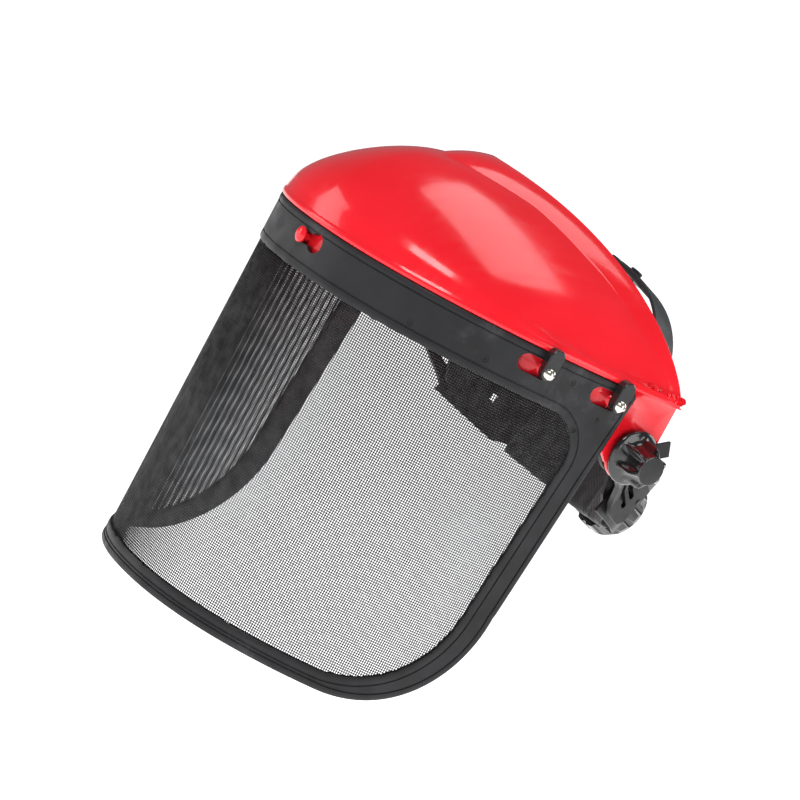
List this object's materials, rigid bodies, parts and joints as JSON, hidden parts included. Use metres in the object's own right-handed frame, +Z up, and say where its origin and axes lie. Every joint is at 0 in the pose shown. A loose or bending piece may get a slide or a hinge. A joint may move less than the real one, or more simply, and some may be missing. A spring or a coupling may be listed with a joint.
{
  "type": "brush-cutter face shield with head harness",
  "caption": "Face shield for brush-cutter work: red browguard carrying a steel mesh visor, tilting on two knob pivots of an adjustable ratchet head harness.",
  "frame": {"origin": "middle of the tilt axis, halfway between the two visor pivots", "axes": "+Z up, the wearer looks along -Y, the wearer's left is +X"},
  "size_m": [0.253, 0.2904, 0.2678],
  "materials": {
    "red_shell": "glossy moulded plastic",
    "black_visor": "semi-matte moulded plastic",
    "mesh_wire": "black coated woven wire",
    "black_lever": "moulded",
    "rivet_nickel": "nickel plated",
    "knob_black": "glossy moulded plastic",
    "insert_brass": "turned",
    "bolt_steel": "zinc plated",
    "washer_black": "soft",
    "harness_black": "moulded",
    "crown_grey": "moulded",
    "sweatband_cloth": "terry over foam",
    "gear_white": "acetal"
  },
  "bodies": {
    "head_harness": {"head_band": "harness_black", "sweatband": "sweatband_cloth", "crown_strap_left": "crown_grey", "crown_strap_right": "crown_grey", "crown_pegs": "harness_black", "crown_studs": "harness_black", "pivot_arm_left": "harness_black", "pivot_arm_right": "harness_black", "guide_stud_left": "harness_black", "guide_stud_right": "harness_black", "pivot_bolt_left": "bolt_steel", "pivot_bolt_right": "bolt_steel", "friction_washer_left": "washer_black", "friction_washer_right": "washer_black", "tab_washer_left": "harness_black", "tab_washer_right": "harness_black", "ratchet_case": "harness_black", "ratchet_back_plate": "harness_black", "ratchet_case_screws": "bolt_steel", "detent_spring": "bolt_steel", "nape_pad": "sweatband_cloth"},
    "shield": {"browguard_shell": "red_shell", "visor_frame": "black_visor", "visor_mesh": "mesh_wire", "latch_rivets": "rivet_nickel"},
    "lever_front_left": {"latch_lever_front_left": "black_lever"},
    "lever_front_right": {"latch_lever_front_right": "black_lever"},
    "lever_rear_left": {"latch_lever_rear_left": "black_lever"},
    "lever_rear_right": {"latch_lever_rear_right": "black_lever"},
    "knob_left": {"pivot_knob_left": "knob_black", "knob_insert_left": "insert_brass"},
    "knob_right": {"pivot_knob_right": "knob_black", "knob_insert_right": "insert_brass"},
    "strap_left": {"rear_strap_left": "harness_black"},
    "strap_right": {"rear_strap_right": "harness_black"},
    "ratchet": {"ratchet_knob": "knob_black", "ratchet_pinion": "gear_white", "detent_wheel": "gear_white", "ratchet_screw": "bolt_steel"}
  },
  "joints": [
    {"name": "visor_tilt", "type": "hinge", "parent": "head_harness", "child": "shield", "pos_m": [0, 0, 0], "axis": [-1, 0, 0], "range_deg": [0, 85]},
    {"name": "lever_front_left_turn", "type": "hinge", "parent": "shield", "child": "lever_front_left", "pos_m": [0.10259, -0.0732, 0.0222], "axis": [0.9628, -0.2701, 0], "range_deg": [0, 90]},
    {"name": "lever_front_right_turn", "type": "hinge", "parent": "shield", "child": "lever_front_right", "pos_m": [-0.10259, -0.0732, 0.0222], "axis": [0.9628, 0.2701, 0], "range_deg": [0, 90]},
    {"name": "lever_rear_left_turn", "type": "hinge", "parent": "shield", "child": "lever_rear_left", "pos_m": [0.11012, -0.0295, 0.0222], "axis": [0.997, -0.0777, 0], "range_deg": [0, 90]},
    {"name": "lever_rear_right_turn", "type": "hinge", "parent": "shield", "child": "lever_rear_right", "pos_m": [-0.11012, -0.0295, 0.0222], "axis": [0.997, 0.0777, 0], "range_deg": [0, 90]},
    {"name": "knob_left_turn", "type": "hinge", "parent": "head_harness", "child": "knob_left", "pos_m": [0.1091, 0, 0], "axis": [1, 0, 0], "range_deg": [0, 300]},
    {"name": "knob_right_turn", "type": "hinge", "parent": "head_harness", "child": "knob_right", "pos_m": [-0.1091, 0, 0], "axis": [-1, 0, 0], "range_deg": [0, 300]},
    {"name": "ratchet_turn", "type": "hinge", "parent": "head_harness", "child": "ratchet", "pos_m": [0, 0.09332, -0.03991], "axis": [0, 0.9537, -0.3007], "range_deg": [-118, 118]},
    {"name": "strap_left_slide", "type": "hinge", "parent": "head_harness", "child": "strap_left", "pos_m": [0, 0.02193, -0.00692], "axis": [0, 0.3007, 0.9537], "range_deg": [-7.6, 7.6]},
    {"name": "strap_right_slide", "type": "hinge", "parent": "head_harness", "child": "strap_right", "pos_m": [0, 0.02193, -0.00692], "axis": [0, 0.3007, 0.9537], "range_deg": [-7.6, 7.6]}
  ],
  "couplings": [
    {"joint": "strap_left_slide", "follows": "ratchet_turn", "ratio": -0.063251},
    {"joint": "strap_right_slide", "follows": "ratchet_turn", "ratio": 0.061843}
  ]
}
